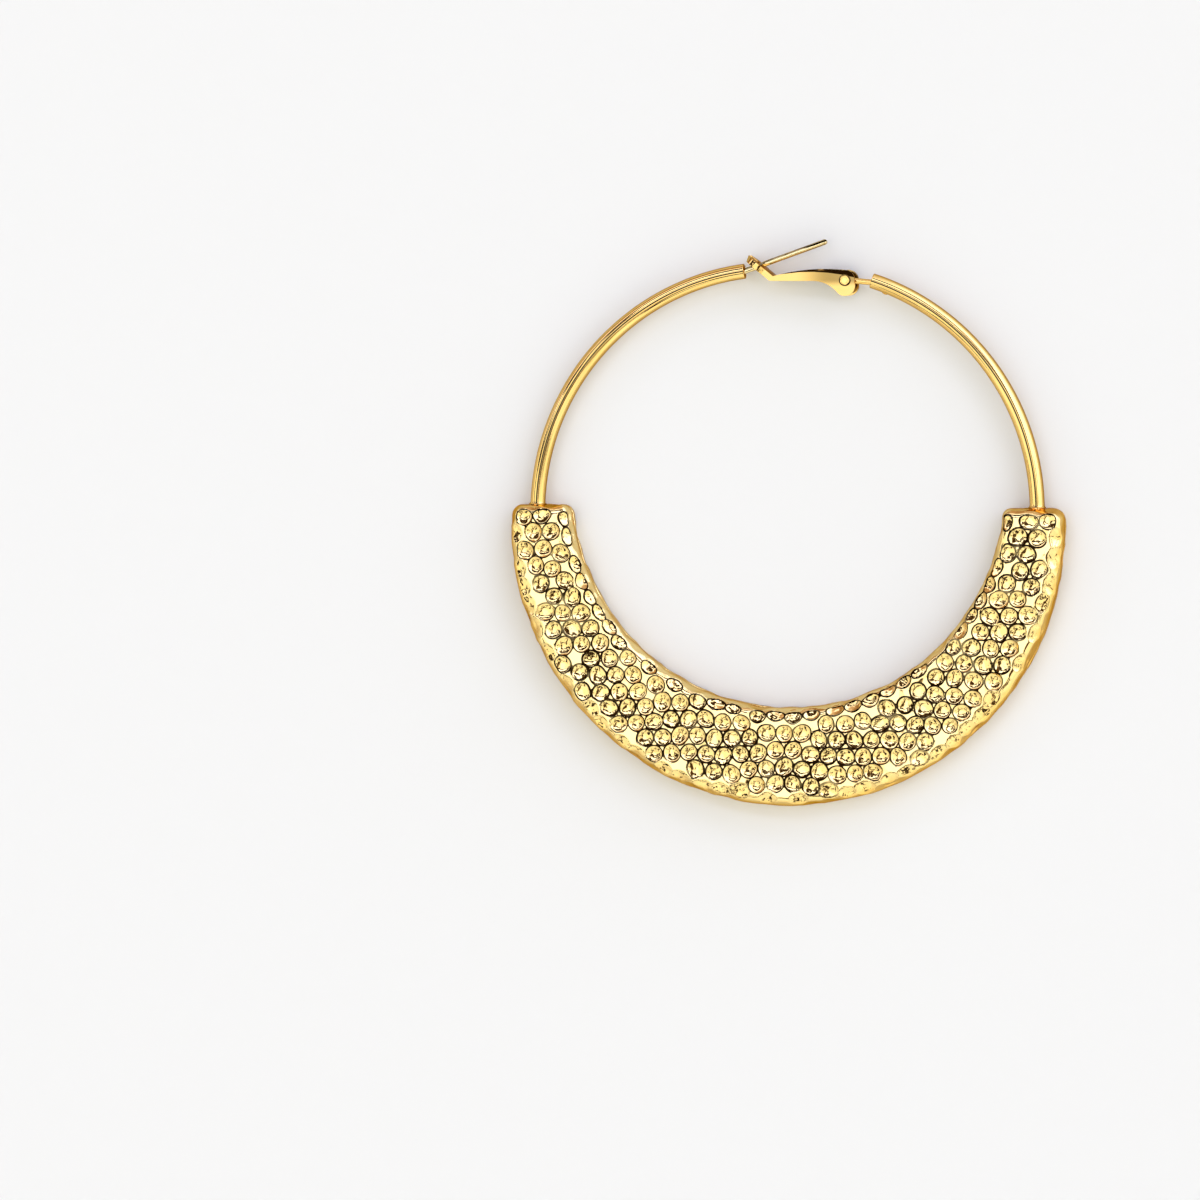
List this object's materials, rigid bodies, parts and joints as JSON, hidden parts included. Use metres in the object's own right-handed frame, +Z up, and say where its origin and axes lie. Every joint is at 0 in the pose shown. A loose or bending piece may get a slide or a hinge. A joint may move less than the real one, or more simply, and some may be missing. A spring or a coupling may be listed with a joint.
{
  "type": "half hoop earring",
  "caption": "Large hoop earring with a hollow hammered crescent, thin tubes above it, a straight ear post and a hinged lever with a horseshoe catch, in polished gold.",
  "frame": {"origin": "bottom centre of the bounding box: on the surface that the earring lies on, under the middle of its outline", "axes": "+Z up, out of the front face of the lying earring; +Y from the crescent's belly towards the clasp; +X towards the hinge's side"},
  "size_m": [0.075, 0.0755, 0.0045],
  "materials": {
    "polished_gold": "gold-plated brass, polished to a mirror, with struck dimples",
    "pale_gold": "paler gold-plated wire, polished"
  },
  "bodies": {
    "hoop": {"crescent": "polished_gold", "post_tube": "polished_gold", "hinge_tube": "polished_gold", "ear_post": "pale_gold", "hinge_tongue": "polished_gold"},
    "lever": {"catch_lever": "polished_gold", "hinge_rivet": "polished_gold"}
  },
  "joints": [
    {"name": "catch_hinge", "type": "hinge", "parent": "hoop", "child": "lever", "pos_m": [0.0081, 0.03232, 0.00225], "axis": [0, 0, 1], "range_deg": [0, 80]}
  ]
}
